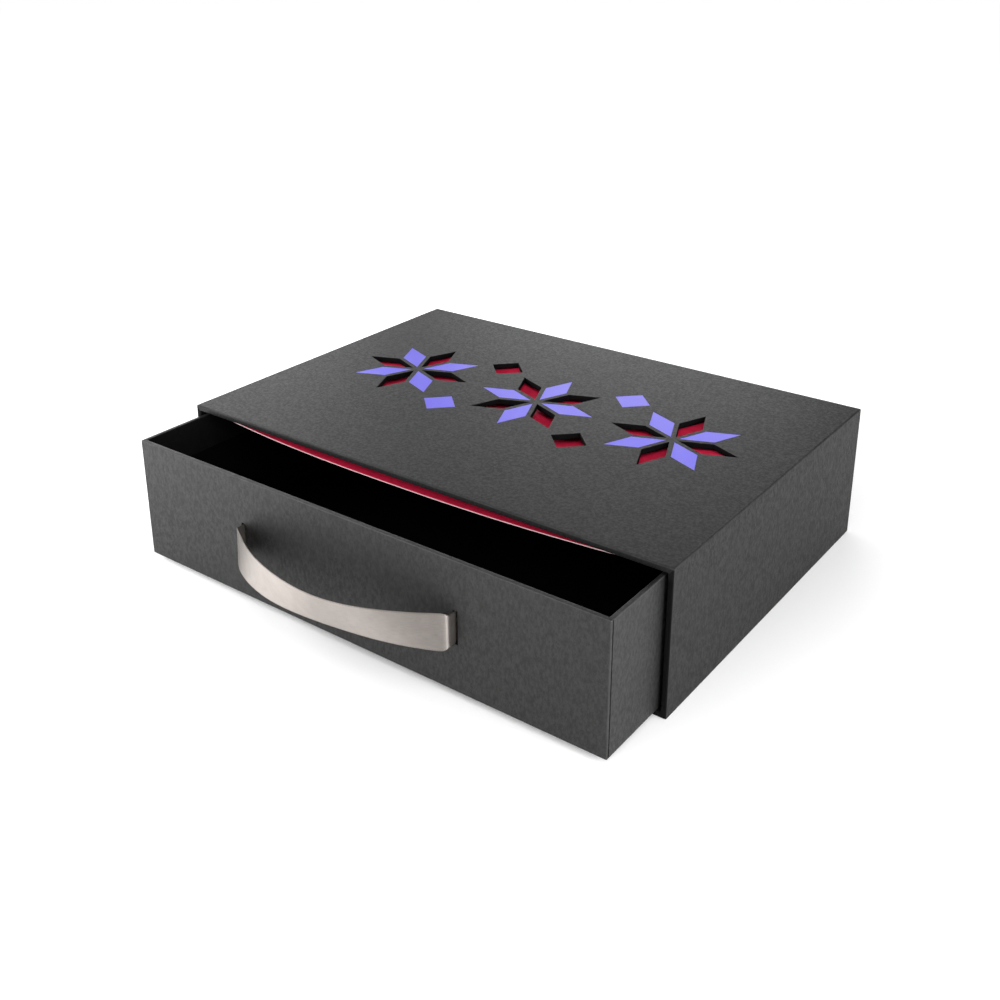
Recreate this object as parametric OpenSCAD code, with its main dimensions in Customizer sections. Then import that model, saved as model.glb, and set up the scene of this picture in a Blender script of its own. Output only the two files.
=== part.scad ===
// Drawer gift box: a paper-covered board sleeve with a sliding tray and a ribbon pull.
// Origin: centre of the sleeve's underside. +X right, +Y to the closed back, +Z up.
// The opening faces -Y, and the drawer stands partly pulled out of it.

/* [Sleeve] */
// Outer width of the sleeve, side to side
sleeve_w = 230; // [200:1:320]
// Outer depth of the sleeve, opening to back
sleeve_d = 163; // [140:1:240]
// Outer height of the sleeve
sleeve_h = 58.2; // [48:0.1:110]
// Thickness of the sleeve's board
sleeve_board_t = 2; // [1.4:0.1:3]
// How far the sleeve's cover paper turns in at the opening
sleeve_turn_in = 15; // [8:1:25]
// How far the sleeve's cover paper turns under the bottom
sleeve_turn_under = 12; // [6:1:20]

/* [Drawer] */
// How far the drawer stands pulled out of the sleeve
drawer_out = 32.4; // [10:0.1:45]
// Thickness of the drawer's board
drawer_board_t = 1.5; // [1:0.1:2.5]
// Gap between the drawer's side and the sleeve, on each side
drawer_side_gap = 1.2; // [0.5:0.1:2]
// Gap between the drawer's underside and the sleeve's floor
drawer_floor_gap = 0.3; // [0.2:0.1:0.8]
// Gap between the drawer's rim and the sleeve's ceiling
drawer_top_gap = 1.3; // [0.9:0.1:3]
// Gap behind the drawer when it is closed
drawer_back_gap = 0.6; // [0.4:0.1:3]
// How far the drawer's cover paper turns down inside the rim
drawer_turn_in = 15; // [8:1:16]

/* [Papers] */
// Thickness of the cover paper
wrap_t = 0.2; // [0.18:0.01:0.3]
// Thickness of the lining paper
liner_t = 0.2; // [0.18:0.01:0.3]
// Thickness of the gummed tape that joins the boards
stay_t = 0.1; // [0.06:0.01:0.12]
// Width of each leg of that tape
stay_leg = 10; // [6:1:14]
// Radius of the folded paper edges
edge_r = 0.3; // [0.25:0.01:0.35]

/* [Ribbon pull] */
// Width of the ribbon
ribbon_w = 15; // [10:1:19]
// Thickness of the ribbon
ribbon_t = 0.5; // [0.3:0.05:0.6]
// Distance from the drawer's rim down to the ribbon's centre line
ribbon_down = 26; // [25:0.1:30]
// How much narrower the ribbon is drawn together in its slots
ribbon_squeeze = 2.4; // [0:0.1:3]
// Distance between the two slots, centre to centre
slot_pitch = 103.8; // [80:0.2:130]
// Sideways place of the middle between the slots
slot_shift = -1.2; // [-4:0.1:4]
// Width of each slot
slot_w = 1.8; // [1.6:0.1:2.4]
// Room above and below the ribbon in its slot
slot_play = 0.3; // [0.3:0.1:1]
// How far the loop stands out from the drawer's front
loop_out = 19.7; // [14:0.1:26]
// Sideways place of the loop's furthest point, from the middle between the slots
loop_apex_x = -1; // [-6:0.5:6]
// Straight length of ribbon outside each slot
exit_len = 2.2; // [1.6:0.1:4]
// Radius of the bend outside each slot
bend_r = 3.2; // [1.5:0.1:4]
// Angle between the ribbon and the drawer's front after the left bend
left_lay = 37; // [25:1:45]
// The same angle after the right bend
right_lay = 30; // [20:1:40]
// How far the upper edge leans outward right of the middle, in degrees
lean_out = 20; // [0:1:30]
// How far the upper edge leans inward near the left slot, in degrees
lean_in = 6; // [0:1:20]
// Length of each glued ribbon end behind the front
tail_len = 24; // [16:1:32]
// Margin of the paper patch around a glued ribbon end
patch_margin = 4; // [2:0.5:6]

/* [Coloured card] */
// Thickness of the card behind the windows
card_t = 0.4; // [0.3:0.05:0.6]
// Distance from the opening to the card's front edge
card_setback = 2.8; // [2.6:0.1:6]
// How far the card's front edge sags in the middle
card_sag = 4.5; // [0:0.1:8]
// How the sag fades to the back: 1 is evenly, less than 1 keeps the card low for longer
card_fade = 0.75; // [0.6:0.05:1.5]
// Gap between the card's sides and the sleeve's inner walls
card_side_gap = 3.6; // [3.4:0.1:12]
// Gap between the card's back edge and the sleeve's back wall
card_back_gap = 6; // [2:0.5:12]
// Width of the tape strips along the card's sides
tape_w = 6; // [4:0.5:6.5]
// Thickness of the tape strips
tape_t = 0.1; // [0.05:0.01:0.15]

/* [Ornament] */
// Number of stars in the row
star_count = 3; // [1:1:3]
// Radius of a star, centre to tip
star_r = 31; // [22:0.5:32]
// Distance between neighbouring stars
star_pitch = 66; // [65:0.5:68]
// Distance from the sleeve's middle back to the row's centre line
star_back = 7; // [0:0.5:14]
// Half the width left between neighbouring pieces of the ornament
piece_inset = 1; // [0.8:0.1:1.5]
// Half the diagonal of the small squares between the stars
square_r = 8.5; // [5:0.5:9]
// Distance of the small squares from the row's centre line
square_off = 25; // [22:0.5:28]
// Thickness of the stamped foil
foil_t = 0.08; // [0.05:0.01:0.1]

/* [Hidden] */

// How far a cutting solid runs past the face that it opens
past = 1;

// Sleeve: outer faces of the wrap, of the boards, and the inner faces of the lining
out_x = sleeve_w / 2;
out_y = sleeve_d / 2;
board_x = out_x - wrap_t;
board_y = out_y - wrap_t;
board_z0 = wrap_t;
board_z1 = sleeve_h - wrap_t;
hollow_x = board_x - sleeve_board_t;
hollow_y = board_y - sleeve_board_t;
hollow_z0 = board_z0 + sleeve_board_t;
hollow_z1 = board_z1 - sleeve_board_t;
inner_x = hollow_x - liner_t;
inner_y = hollow_y - liner_t;
floor_z = hollow_z0 + liner_t;
ceiling_z = hollow_z1 - liner_t;
liner_y0 = -out_y + sleeve_turn_in;

// Drawer: outer faces of its wrap
drawer_d = out_y + inner_y - drawer_back_gap;
tray_x = inner_x - drawer_side_gap;
tray_y0 = -out_y - drawer_out;
tray_y1 = tray_y0 + drawer_d;
tray_z0 = floor_z + drawer_floor_gap;
tray_z1 = ceiling_z - drawer_top_gap;
// Outer faces of its boards
wall_x = tray_x - wrap_t;
wall_y0 = tray_y0 + wrap_t;
wall_y1 = tray_y1 - wrap_t;
wall_z0 = tray_z0 + wrap_t;
wall_z1 = tray_z1 - wrap_t;
// Inner faces of its boards, and of its lining
well_x = wall_x - drawer_board_t;
well_y0 = wall_y0 + drawer_board_t;
well_y1 = wall_y1 - drawer_board_t;
well_z0 = wall_z0 + drawer_board_t;
lined_x = well_x - liner_t;
lined_y0 = well_y0 + liner_t;
lined_y1 = well_y1 - liner_t;
lined_z0 = well_z0 + liner_t;
turn_in_z = tray_z1 - drawer_turn_in;

// Ribbon: the loop and the glued end lie side by side in the slot
ribbon_z = tray_z1 - ribbon_down;
slot_x = slot_pitch / 2;
root_w = ribbon_w - ribbon_squeeze;
slot_h = root_w + 2 * slot_play;
lane_gap = 0.1;
lane = lane_gap + ribbon_t / 2;
loop_x = slot_x - lane;
loop_start = 0.2;
patch_t = 0.2;

// Card: half its width, and how far back the sag reaches
card_x = inner_x - card_side_gap;
sag_x = card_x - tape_w / 2;
card_y0 = -out_y + card_setback;
card_y1 = inner_y - card_back_gap;
sag_len = lined_y1 - card_y0;

// ---------- shared shapes ----------

// A box from three pairs of limits
module block(x, y, z) {
  translate([x[0], y[0], z[0]])
    cube([x[1] - x[0], y[1] - y[0], z[1] - z[0]]);
}

// A rectangle with round corners, centred on the origin
module round_rect(w, h, r) {
  square([w - 2 * r, h], center = true);
  square([w, h - 2 * r], center = true);
  for (sx = [-1, 1], sy = [-1, 1])
    translate([sx * (w / 2 - r), sy * (h / 2 - r)])
      circle(r, $fn = 32);
}

// An outline in X and Z, drawn out along Y
module along_y(y0, y1) {
  translate([0, y1, 0])
    rotate([90, 0, 0])
      linear_extrude(y1 - y0)
        children();
}

// ---------- ornament ----------

// One piece of an eight-pointed star, drawn in by piece_inset on every side
module star_piece() {
  half_l = star_r / 2;
  half_w = half_l * tan(22.5);
  k = 1 - piece_inset * norm([half_l, half_w]) / (half_l * half_w);
  translate([half_l, 0])
    polygon([[half_l * k, 0], [0, half_w * k], [-half_l * k, 0], [0, -half_w * k]]);
}

// Four pieces of a star: turn 0 starts on the X axis, turn 1 in between
module star_cross(turn) {
  for (i = [0 : 3])
    rotate(90 * i + 45 * turn)
      star_piece();
}

// The small squares between neighbouring stars: side 1 or -1 of the row by turns
module square_row(first) {
  for (i = [0 : 1 : star_count - 2]) {
    side = (i % 2 == 0) ? first : -first;
    translate([(i + 1 - star_count / 2) * star_pitch, side * square_off])
      polygon([[square_r, 0], [0, square_r], [-square_r, 0], [0, -square_r]]);
  }
}

// Half of the ornament: kind 0 is the windows, kind 1 the stamped pieces
module ornament(kind) {
  translate([0, star_back]) {
    for (i = [0 : star_count - 1])
      translate([(i - (star_count - 1) / 2) * star_pitch, 0])
        star_cross((i + kind) % 2);
    square_row(kind == 0 ? 1 : -1);
  }
}

// The windows as cutting solids through the sleeve's top
module window_cutters() {
  translate([0, 0, ceiling_z - past])
    linear_extrude(sleeve_h - ceiling_z + 2 * past)
      ornament(0);
}

// ---------- sleeve ----------

module sleeve_top_board() {
  color("#1b1b1c")
    difference() {
      block([-board_x, board_x], [-board_y, board_y], [hollow_z1, board_z1]);
      window_cutters();
    }
}

module sleeve_bottom_board() {
  color("#1b1b1c")
    block([-board_x, board_x], [-board_y, board_y], [board_z0, hollow_z0]);
}

// A side board: side is -1 on the left and 1 on the right
module sleeve_side_board(side) {
  color("#1b1b1c")
    translate([side * (hollow_x + board_x) / 2, 0, 0])
      block([-sleeve_board_t / 2, sleeve_board_t / 2], [-board_y, board_y],
            [hollow_z0, hollow_z1]);
}

module sleeve_left_board() {
  sleeve_side_board(-1);
}

module sleeve_right_board() {
  sleeve_side_board(1);
}

module sleeve_back_board() {
  color("#1b1b1c")
    block([-hollow_x, hollow_x], [hollow_y, board_y], [hollow_z0, hollow_z1]);
}

// Tape in the four long inner corners, under the lining
module sleeve_corner_stays() {
  color("#a8885c")
    for (side = [-1, 1], top = [0, 1]) {
      corner_z = top == 1 ? hollow_z1 : hollow_z0;
      down = top == 1 ? -1 : 1;
      along_y(liner_y0, hollow_y)
        polygon([[side * hollow_x, corner_z],
                 [side * hollow_x, corner_z + down * stay_leg],
                 [side * (hollow_x - stay_t), corner_z + down * stay_leg],
                 [side * (hollow_x - stay_t), corner_z + down * stay_t],
                 [side * (hollow_x - stay_leg), corner_z + down * stay_t],
                 [side * (hollow_x - stay_leg), corner_z]]);
    }
}

// Cover paper: outer skin, round the opening's edges, turned in and turned under
module sleeve_wrap() {
  color("#3f3f42")
    difference() {
      union() {
        difference() {
          along_y(-out_y, out_y)
            translate([0, sleeve_h / 2])
              round_rect(sleeve_w, sleeve_h, edge_r);
          block([-board_x, board_x], [-board_y, board_y], [board_z0, board_z1]);
        }
        block([-hollow_x, hollow_x], [-board_y, liner_y0], [hollow_z0, hollow_z1]);
      }
      block([-inner_x, inner_x], [-out_y - past, liner_y0 + past], [floor_z, ceiling_z]);
      block([sleeve_turn_under - out_x, out_x - sleeve_turn_under],
            [sleeve_turn_under - out_y, out_y - sleeve_turn_under],
            [-past, board_z0 + wrap_t / 2]);
      window_cutters();
      translate([0, 0, sleeve_h - foil_t])
        linear_extrude(foil_t + past)
          ornament(1);
    }
}

// Sheet under the bottom, between the turned edges of the cover paper
module sleeve_base_sheet() {
  color("#343436")
    block([sleeve_turn_under - out_x, out_x - sleeve_turn_under],
          [sleeve_turn_under - out_y, out_y - sleeve_turn_under], [0, wrap_t]);
}

module sleeve_liner() {
  color("#141415")
    difference() {
      block([-hollow_x, hollow_x], [liner_y0, hollow_y], [hollow_z0, hollow_z1]);
      block([-inner_x, inner_x], [liner_y0 - past, inner_y], [floor_z, ceiling_z]);
      window_cutters();
      sleeve_corner_stays();
    }
}

// Violet foil pieces, flush with the cover paper
module foil_inlays() {
  color("#8578f0")
    translate([0, 0, sleeve_h - foil_t])
      linear_extrude(foil_t)
        ornament(1);
}

// ---------- coloured card ----------

// How far the card hangs below the ceiling: an arc across, fading out to the back
function sag_at(x, y) =
  let (across = max(0, 1 - pow(x / sag_x, 2)),
       fade = pow(max(0, 1 - (y - card_y0) / sag_len), card_fade))
  card_sag * across * fade;

// A thin sheet over a grid of X and Y places, hung from the ceiling
module hung_sheet(xs, ys, t) {
  nx = len(xs);
  ny = len(ys);
  top = [for (y = ys, x = xs) [x, y, ceiling_z - sag_at(x, y)]];
  bottom = [for (p = top) p - [0, 0, t]];
  n = nx * ny;
  cells = [for (j = [0 : ny - 2], i = [0 : nx - 2]) j * nx + i];
  rim = concat([for (i = [0 : nx - 2]) [i, i + 1]],
               [for (j = [0 : ny - 2]) [j * nx + nx - 1, (j + 1) * nx + nx - 1]],
               [for (i = [0 : nx - 2]) [n - 1 - i, n - 2 - i]],
               [for (j = [0 : ny - 2]) [(ny - 1 - j) * nx, (ny - 2 - j) * nx]]);
  faces = concat([for (c = cells) [c, c + nx, c + nx + 1]],
                 [for (c = cells) [c, c + nx + 1, c + 1]],
                 [for (c = cells) [n + c, n + c + nx + 1, n + c + nx]],
                 [for (c = cells) [n + c, n + c + 1, n + c + nx + 1]],
                 [for (e = rim) [e[0], e[1], n + e[1]]],
                 [for (e = rim) [e[0], n + e[1], n + e[0]]]);
  polyhedron(concat(top, bottom), faces, convexity = 4);
}

// The sagging part has the finer grid, and the part behind it lies flat on the ceiling
card_nx = 16;
card_ny = 10;
card_xs = concat([-card_x],
                 [for (i = [0 : card_nx]) sag_x * (2 * i / card_nx - 1)],
                 [card_x]);
card_ys = concat([for (j = [0 : card_ny]) card_y0 + sag_len * j / card_ny], [card_y1]);

module red_backing_card() {
  color("#b3153c")
    hung_sheet(card_xs, card_ys, card_t);
}

// Tape over both side edges of the card and onto the ceiling beside them
module card_tape_strips() {
  step_z = ceiling_z - card_t;
  color("#cfc8b4")
    for (side = [-1, 1])
      along_y(card_y0, card_y1)
        polygon([[side * (card_x + tape_w / 2), ceiling_z],
                 [side * card_x, ceiling_z],
                 [side * card_x, step_z],
                 [side * sag_x, step_z],
                 [side * sag_x, step_z - tape_t],
                 [side * (card_x + tape_t), step_z - tape_t],
                 [side * (card_x + tape_t), ceiling_z - tape_t],
                 [side * (card_x + tape_w / 2), ceiling_z - tape_t]]);
}

// ---------- drawer ----------

// The two ribbon slots as cutting solids through the drawer's front
module slot_cutters() {
  for (side = [-1, 1])
    translate([slot_shift + side * slot_x, 0, 0])
      block([-slot_w / 2, slot_w / 2], [tray_y0 - past, lined_y0 + past],
            [ribbon_z - slot_h / 2, ribbon_z + slot_h / 2]);
}

module drawer_front_board() {
  color("#202021")
    difference() {
      block([-wall_x, wall_x], [wall_y0, well_y0], [wall_z0, wall_z1]);
      slot_cutters();
    }
}

module drawer_back_board() {
  color("#202021")
    block([-wall_x, wall_x], [well_y1, wall_y1], [wall_z0, wall_z1]);
}

// A side board: side is -1 on the left and 1 on the right
module drawer_side_board(side) {
  color("#202021")
    translate([side * (well_x + wall_x) / 2, 0, 0])
      block([-drawer_board_t / 2, drawer_board_t / 2], [well_y0, well_y1],
            [wall_z0, wall_z1]);
}

module drawer_left_board() {
  drawer_side_board(-1);
}

module drawer_right_board() {
  drawer_side_board(1);
}

module drawer_bottom_board() {
  color("#202021")
    block([-well_x, well_x], [well_y0, well_y1], [wall_z0, well_z0]);
}

// Tape round the four upright outer corners, under the cover paper
module drawer_corner_stays() {
  color("#a8885c")
    for (sx = [-1, 1], back = [0, 1]) {
      corner_y = back == 1 ? wall_y1 : wall_y0;
      sy = back == 1 ? 1 : -1;
      translate([sx * wall_x, corner_y, wall_z0])
        linear_extrude(wall_z1 - wall_z0)
          polygon([[0, 0],
                   [0, -sy * stay_leg],
                   [sx * stay_t, -sy * stay_leg],
                   [sx * stay_t, 0],
                   [0, sy * stay_t],
                   [-sx * stay_leg, sy * stay_t],
                   [-sx * stay_leg, 0]]);
    }
}

// Cover paper: bottom and sides, over the rim, and turned down inside
module drawer_wrap() {
  color("#3f3f42")
    difference() {
      union() {
        difference() {
          translate([0, 0, tray_z0])
            linear_extrude(tray_z1 - tray_z0)
              translate([0, (tray_y0 + tray_y1) / 2])
                round_rect(2 * tray_x, drawer_d, edge_r);
          block([-wall_x, wall_x], [wall_y0, wall_y1], [wall_z0, wall_z1]);
        }
        block([-well_x, well_x], [well_y0, well_y1], [turn_in_z, tray_z1]);
      }
      block([-lined_x, lined_x], [lined_y0, lined_y1], [turn_in_z - past, tray_z1 + past]);
      slot_cutters();
      drawer_corner_stays();
    }
}

// Lining paper: the floor, and the walls up to the turned-down cover paper
module drawer_liner() {
  color("#141415")
    difference() {
      block([-well_x, well_x], [well_y0, well_y1], [well_z0, turn_in_z]);
      block([-lined_x, lined_x], [lined_y0, lined_y1], [lined_z0, turn_in_z + past]);
      slot_cutters();
    }
}

// ---------- ribbon ----------

// Both glued ends: drawn together through the slot, then flat on the lining
module ribbon_tails() {
  color("#b5b0ab")
    for (side = [-1, 1])
      translate([slot_shift + side * slot_x, 0, ribbon_z]) {
        translate([side * (lane_gap + ribbon_t / 2), 0, 0])
          block([-ribbon_t / 2, ribbon_t / 2], [tray_y0, lined_y0 + ribbon_t],
                [-root_w / 2, root_w / 2]);
        translate([side * (lane_gap + tail_len / 2), 0, 0])
          block([-tail_len / 2, tail_len / 2], [lined_y0, lined_y0 + ribbon_t],
                [-ribbon_w / 2, ribbon_w / 2]);
      }
}

// Paper patch over each glued end, its edges down on the lining
module ribbon_tail_patches() {
  half_h = ribbon_w / 2 + patch_margin;
  far = lane_gap + tail_len;
  color("#141415")
    for (side = [-1, 1])
      translate([slot_shift + side * slot_x, 0, ribbon_z])
        difference() {
          translate([side * (slot_w / 2 + far + patch_margin) / 2, 0, 0])
            block([-(far + patch_margin - slot_w / 2) / 2,
                   (far + patch_margin - slot_w / 2) / 2],
                  [lined_y0, lined_y0 + ribbon_t + patch_t], [-half_h, half_h]);
          block([-far, far], [lined_y0 - past, lined_y0 + ribbon_t],
                [-ribbon_w / 2, ribbon_w / 2]);
        }
}

// Loop in plan, as [x from the middle, distance out from the front], from left to right
bend_steps = 5;
sweep_steps = 12;
reach = 18;

// A point of a cubic curve with four control points
function cubic(p, t) =
  pow(1 - t, 3) * p[0] + 3 * pow(1 - t, 2) * t * p[1]
  + 3 * (1 - t) * t * t * p[2] + t * t * t * p[3];

// Half of the loop up to its apex, drawn as a left half
function half_loop(apex_x, lay) =
  let (bend_end = [-loop_x + bend_r * (1 - sin(lay)), exit_len + bend_r * cos(lay)],
       apex = [apex_x, loop_out],
       ctrl = [bend_end, bend_end + reach * [cos(lay), sin(lay)], apex - [reach, 0], apex])
  concat([[-loop_x, loop_start]],
         [for (i = [0 : bend_steps])
            let (a = 180 - (90 - lay) * i / bend_steps)
            [-loop_x + bend_r * (1 + cos(a)), exit_len + bend_r * sin(a)]],
         [for (i = [1 : sweep_steps]) cubic(ctrl, i / sweep_steps)]);

left_half = half_loop(loop_apex_x, left_lay);
right_half = half_loop(-loop_apex_x, right_lay);
loop_plan = concat(left_half,
                   [for (i = [len(right_half) - 2 : -1 : 0])
                      [-right_half[i][0], right_half[i][1]]]);

// A smooth hump of height 1 at c, down to 0 at a distance w
function hump(x, c, w) = abs(x - c) < w ? (1 + cos(180 * (x - c) / w)) / 2 : 0;

// How far the ribbon's upper edge leans outward, in degrees, and upright at the slots
function lean_at(p) =
  let (free = min(1, max(0, (p[1] - exit_len) / (2 * bend_r))),
       share = p[0] / loop_x)
  free * (lean_out * hump(share, 0.2, 0.95) - lean_in * hump(share, -0.96, 0.45));

// Half the ribbon's width: drawn together at the slots, full past the bends
function half_width(p) =
  let (open = min(1, max(0, (p[1] - exit_len) / bend_r)))
  (root_w + ribbon_squeeze * open * open * (3 - 2 * open)) / 2;

// The ribbon's cross-section at point i of the plan
function ribbon_ring(i) =
  let (last = len(loop_plan) - 1,
       ahead = loop_plan[min(last, i + 1)] - loop_plan[max(0, i - 1)],
       run = ahead / norm(ahead),
       outward = [-run[1], -run[0], 0],
       lean = lean_at(loop_plan[i]),
       up = sin(lean) * outward + [0, 0, cos(lean)],
       thick = cos(lean) * outward - [0, 0, sin(lean)],
       half_w = half_width(loop_plan[i]),
       c = [slot_shift + loop_plan[i][0], tray_y0 - loop_plan[i][1], ribbon_z])
  [for (s = [[1, 1], [1, -1], [-1, -1], [-1, 1]])
     c + s[0] * half_w * up + s[1] * ribbon_t / 2 * thick];

module ribbon_handle() {
  rings = len(loop_plan);
  points = [for (i = [0 : rings - 1], p = ribbon_ring(i)) p];
  faces = concat([[0, 3, 2, 1]],
                 [for (i = [0 : rings - 2], k = [0 : 3])
                    [4 * i + k, 4 * i + (k + 1) % 4, 4 * i + 4 + (k + 1) % 4]],
                 [for (i = [0 : rings - 2], k = [0 : 3])
                    [4 * i + k, 4 * i + 4 + (k + 1) % 4, 4 * i + 4 + k]],
                 [[4 * rings - 4, 4 * rings - 3, 4 * rings - 2, 4 * rings - 1]]);
  color("#b5b0ab")
    polyhedron(points, faces, convexity = 6);
}

// ---------- parts ----------

sleeve_top_board();
sleeve_bottom_board();
sleeve_left_board();
sleeve_right_board();
sleeve_back_board();
sleeve_corner_stays();
sleeve_wrap();
sleeve_base_sheet();
sleeve_liner();
foil_inlays();
red_backing_card();
card_tape_strips();
drawer_front_board();
drawer_back_board();
drawer_left_board();
drawer_right_board();
drawer_bottom_board();
drawer_corner_stays();
drawer_wrap();
drawer_liner();
ribbon_tails();
ribbon_tail_patches();
ribbon_handle();
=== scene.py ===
import math
import bpy
import bmesh
from mathutils import Matrix, Vector


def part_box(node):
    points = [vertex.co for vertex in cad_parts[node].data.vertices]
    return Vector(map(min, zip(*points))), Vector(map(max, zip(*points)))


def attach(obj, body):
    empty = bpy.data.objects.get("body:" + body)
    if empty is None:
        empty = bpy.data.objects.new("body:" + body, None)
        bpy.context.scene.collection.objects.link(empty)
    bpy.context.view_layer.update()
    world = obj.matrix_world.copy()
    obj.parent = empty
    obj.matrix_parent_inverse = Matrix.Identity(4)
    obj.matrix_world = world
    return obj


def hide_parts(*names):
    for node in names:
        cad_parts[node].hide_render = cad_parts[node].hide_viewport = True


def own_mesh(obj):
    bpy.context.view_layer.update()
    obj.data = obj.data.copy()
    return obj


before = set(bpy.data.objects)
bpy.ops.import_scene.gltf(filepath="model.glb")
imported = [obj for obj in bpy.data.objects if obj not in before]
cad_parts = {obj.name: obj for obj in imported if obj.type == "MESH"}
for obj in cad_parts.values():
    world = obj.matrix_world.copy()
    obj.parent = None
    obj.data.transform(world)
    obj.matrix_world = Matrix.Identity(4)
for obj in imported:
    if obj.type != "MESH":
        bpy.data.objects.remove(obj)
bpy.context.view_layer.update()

# Lengths in this script are in millimetres, and become metres when a mesh is made
MM = 0.001


def limits(node):
    """The lowest and highest corner of a CAD node, in millimetres."""
    low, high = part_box(node)
    return Vector(low) / MM, Vector(high) / MM


# ---------- sizes taken from the frame ----------

sleeve_low, sleeve_high = limits("sleeve_wrap")
board_high = limits("sleeve_top_board")[1]
liner_low, liner_high = limits("sleeve_liner")
tray_low, tray_high = limits("drawer_wrap")
lining_low, lining_high = limits("drawer_liner")
card_low, card_high = limits("red_backing_card")
ends_low, ends_high = limits("ribbon_tails")

# Thickness of the papers, and of the walls with their papers. All the papers are alike.
paper_t = sleeve_high.x - board_high.x
sleeve_wall = sleeve_high.x - liner_high.x + paper_t
tray_wall = tray_high.x - lining_high.x + paper_t
top_z = sleeve_high.z
ceiling_z = liner_high.z - paper_t
front_y = tray_low.y

# ---------- sizes of the details ----------

# Folded paper: round of the outer folds, of the rim's inner fold, and the least round
FOLD_R = 0.6
RIM_OUT_R = 0.45
RIM_IN_R = 0.6
LEAST_R = 0.12
INNER_CORNER_R = 0.5
HIDDEN_R = 0.05
# Depth of the mitred folds across the lip's and the rim's corners
MITRE = 0.1
# Side seam of the drawer's paper: (distance behind the front, depth) across its groove
SEAM = ((0.76, 0.0), (0.8, 0.05), (1.3, 0.05), (1.34, 0.0))
# Gap round the sheet under the sleeve's bottom
BASE_GAP = 0.06
# How far in the sheets end: the covers at the sleeve's back and under the drawer, and
# the lining on the drawer's floor
HIDDEN_IN = 6
LINING_IN = 12
# How far a cutter runs past the face that it cuts, and how far apart two faces may be
# when faces are picked by their place
CUT_PAST = 1
NEAR = 0.1
# Lining: round of its corners, and how far it stays under the turned-in paper
LINING_R = 0.9
LINING_DROP = 0.1

# Ornament: as in the part's own sizes
STAR_COUNT = 3
STAR_R = 31
STAR_PITCH = 66
STAR_BACK = 7
PIECE_INSET = 1
SQUARE_R = 8.5
SQUARE_OFF = 25
# Chamfer of the cut paper's edge, depth of the stamped places, and the foil in them:
# how far down its face lies, the round of its edges, and its air to the paper
CUT_CHAMFER = 0.1
STAMP_DEPTH = 0.12
FOIL_DOWN = 0.05
FOIL_ROUND = 0.04
FOIL_AIR = 0.01

# Card: sag in the middle of its front edge, how much more its left half sags, the
# sag's fade, and the taped width at the sides
CARD_SAG = 4.5
CARD_LEFT = 0.45
CARD_FADE = 0.75
TAPED = 3
CARD_AIR = 0.02
CARD_T = 0.4
# Card's mesh: steps across and along, how its rows crowd towards the front, and how the
# left half's extra sag grows
CARD_STEPS = (60, 40)
CARD_CROWD = 1.3
CARD_LEFT_CURVE = 1.5

# Ribbon: as in the part's own sizes
ROOT_W = 12.6
SLOT_PLAY = 0.3
SLOT_W = 1.8
SLOT_WORN = 0.25
LANE = 0.35
END_LANE = 0.1
END_LEN = 24
LOOP_OUT = 19.7
APEX_X = -1
EXIT_LEN = 2.2
BEND_R = 3.2
LEFT_LAY = math.radians(37)
RIGHT_LAY = math.radians(30)
REACH = 18
# How far the ribbon's upper edge leans out and in, in degrees, and where: the middle
# and the half width of each, as shares of the half loop
LEAN_OUT, LEAN_OUT_AT = 20, (0.2, 0.95)
LEAN_IN, LEAN_IN_AT = 6, (-0.96, 0.45)
RIBBON_W = ends_high.z - ends_low.z
ribbon_z = (ends_low.z + ends_high.z) / 2
slots_x = (ends_low.x + ends_high.x) / 2
slot_x = (ends_high.x - ends_low.x) / 2 - END_LANE - END_LEN
loop_x = slot_x - LANE
end_x = slot_x + END_LANE
# The visible ribbon: its thickness, its woven edge and that edge's rounding, how far
# behind the front its loop ends and its glued ends begin, the length over which these
# spread to full width, their bend, and their air to the lining
RIBBON_T = 0.36
RIB_PITCH = 0.56
RIB_DEEP = 0.07
RIB_BAND = 0.7
EDGE_ROUND = 0.25
EDGE_THIN = 0.35
ROOT_IN = 0.9
END_IN = 1.35
END_SPREAD = 3
END_BEND = 0.4
END_AIR = 0.02
END_STEPS = 12

# ---------- camera ----------

CAMERA_AT = Vector((269.56, -386.68, 257.26)) * MM
CAMERA_AZIMUTH = math.radians(-36.86)
CAMERA_DOWN = math.radians(20.69)
CAMERA_ROLL = math.radians(-0.25)
FOCAL = 43.386
SHIFT = (0.01197, -0.13977)


def add_camera():
    """The camera at the photograph's viewing angle."""
    ahead = Vector((math.cos(CAMERA_DOWN) * math.sin(CAMERA_AZIMUTH),
                    math.cos(CAMERA_DOWN) * math.cos(CAMERA_AZIMUTH),
                    -math.sin(CAMERA_DOWN)))
    right = ahead.cross(Vector((0, 0, 1))).normalized()
    up = right.cross(ahead)
    roll_right = math.cos(CAMERA_ROLL) * right + math.sin(CAMERA_ROLL) * up
    roll_up = math.cos(CAMERA_ROLL) * up - math.sin(CAMERA_ROLL) * right
    camera = bpy.data.objects.new("camera", bpy.data.cameras.new("camera"))
    bpy.context.collection.objects.link(camera)
    axes = Matrix((roll_right, roll_up, -ahead)).transposed()
    camera.matrix_world = Matrix.Translation(CAMERA_AT) @ axes.to_4x4()
    camera.data.lens = FOCAL
    camera.data.shift_x, camera.data.shift_y = SHIFT
    camera.data.clip_start = 0.01
    camera.data.clip_end = 50
    bpy.context.scene.camera = camera


add_camera()

# ---------- mesh tools ----------


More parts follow.
